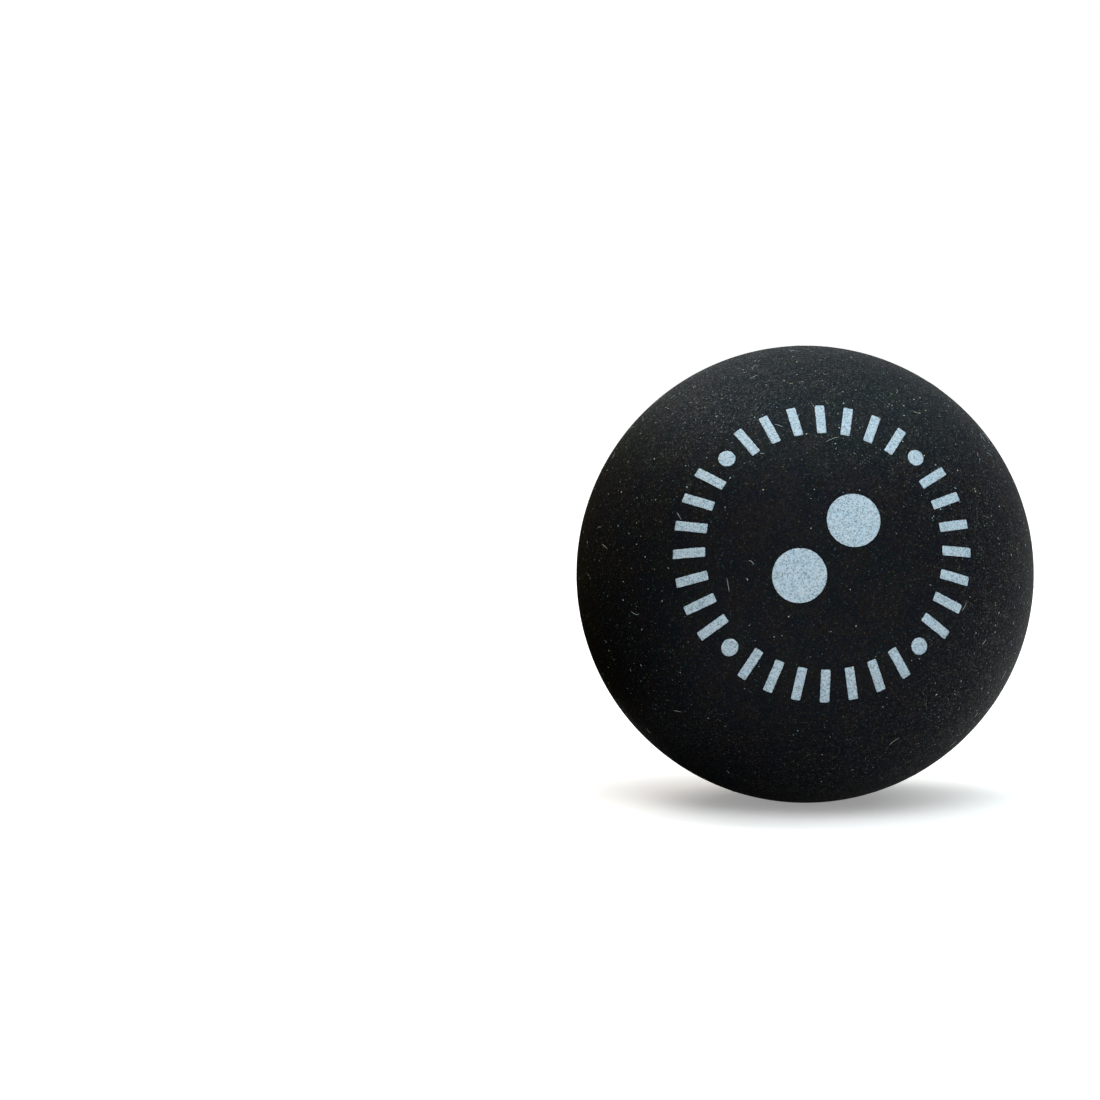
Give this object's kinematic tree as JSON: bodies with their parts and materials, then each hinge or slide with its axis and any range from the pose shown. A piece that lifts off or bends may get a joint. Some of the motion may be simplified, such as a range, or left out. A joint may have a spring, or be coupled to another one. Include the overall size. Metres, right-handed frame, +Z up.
{
  "type": "squash ball",
  "caption": "Hollow matt black rubber ball for squash: bonded half shells round a sealed air chamber, with a small plain pattern printed on the front.",
  "frame": {"origin": "centre of the ball", "axes": "+Z up as the ball stands in the picture, -Y towards the viewer, +Y along the axis of the seam, which lies in the plane of X and Z"},
  "size_m": [0.04, 0.04, 0.04],
  "materials": {
    "rubber": "matt, buffed, with fine pale specks",
    "bond": "matt, slightly smoother than the shells",
    "ink": "matt pad-printed ink, pale blue-grey"
  },
  "bodies": {
    "root": {"front_half_shell": "rubber", "rear_half_shell": "rubber", "seam_bond": "bond", "print_bars": "ink", "print_points": "ink", "print_discs": "ink"}
  },
  "joints": []
}
